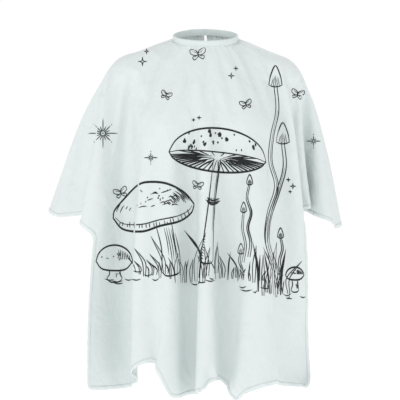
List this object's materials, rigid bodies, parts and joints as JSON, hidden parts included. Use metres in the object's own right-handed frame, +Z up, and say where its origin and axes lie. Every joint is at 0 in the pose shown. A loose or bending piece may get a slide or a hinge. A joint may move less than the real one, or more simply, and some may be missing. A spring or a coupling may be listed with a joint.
{
  "type": "barber cape",
  "caption": "Barber cape in pale mint polyester with dark line-art print, gathered onto a snap-closed neckband, draped as worn with arm wings and open back",
  "frame": {"origin": "Centre of the neck opening, halfway up the closed neckband and on its axis", "axes": "+Z up, the wearer's front faces -Y, +X is to the right when the front is viewed"},
  "size_m": [0.6392, 0.3393, 0.7947],
  "materials": {
    "cape_cloth": "fine plain-weave polyester, smooth, very light sheen",
    "band_cloth": "the same cloth folded over a stiff strip, top-stitched",
    "interlining": "white non-woven stiffener",
    "snap_resin": "moulded resin, glossy",
    "thread": "polyester sewing thread",
    "print_ink": "flat dark textile ink"
  },
  "bodies": {
    "cape_front": {"front_panel": "cape_cloth", "front_hem": "cape_cloth", "left_side_hem": "cape_cloth", "right_side_hem": "cape_cloth", "left_yoke": "cape_cloth", "right_yoke": "cape_cloth", "neckband_shell": "band_cloth", "neckband_interlining": "interlining", "neckband_lining": "band_cloth", "neckband_stitching": "thread", "snap_studs": "snap_resin", "stud_caps": "snap_resin", "tab_base": "band_cloth"},
    "closure_tab": {"tab_shell": "band_cloth", "tab_interlining": "interlining", "tab_lining": "band_cloth", "tab_stitching": "thread", "snap_sockets": "snap_resin", "socket_caps": "snap_resin"},
    "left_wing": {"left_wing": "cape_cloth", "left_wing_hem": "cape_cloth"},
    "right_wing": {"right_wing": "cape_cloth", "right_wing_hem": "cape_cloth"},
    "left_back_flap": {"left_back_flap": "cape_cloth", "left_back_hem": "cape_cloth", "left_slit_facing": "cape_cloth"},
    "right_back_flap": {"right_back_flap": "cape_cloth", "right_back_hem": "cape_cloth", "right_slit_facing": "cape_cloth"}
  },
  "joints": [
    {"name": "tab_peel", "type": "hinge", "parent": "cape_front", "child": "closure_tab", "pos_m": [0.00862, 0.07248, 0.02355], "axis": [0, 0.309, -0.9511], "range_deg": [0, 75]},
    {"name": "left_wing_lift", "type": "hinge", "parent": "cape_front", "child": "left_wing", "pos_m": [-0.1988, 0.01, -0.05], "axis": [0, 1, 0], "range_deg": [0, 30]},
    {"name": "right_wing_lift", "type": "hinge", "parent": "cape_front", "child": "right_wing", "pos_m": [0.1988, 0.01, -0.05], "axis": [0, -1, 0], "range_deg": [0, 30]},
    {"name": "left_flap_open", "type": "hinge", "parent": "cape_front", "child": "left_back_flap", "pos_m": [-0.00651, 0.0684, 0.01444], "axis": [0.3767, -0.1206, 0.9185], "range_deg": [0, 60]},
    {"name": "right_flap_open", "type": "hinge", "parent": "cape_front", "child": "right_back_flap", "pos_m": [0.00651, 0.0684, 0.01444], "axis": [0.3767, 0.1206, -0.9185], "range_deg": [0, 60]}
  ]
}
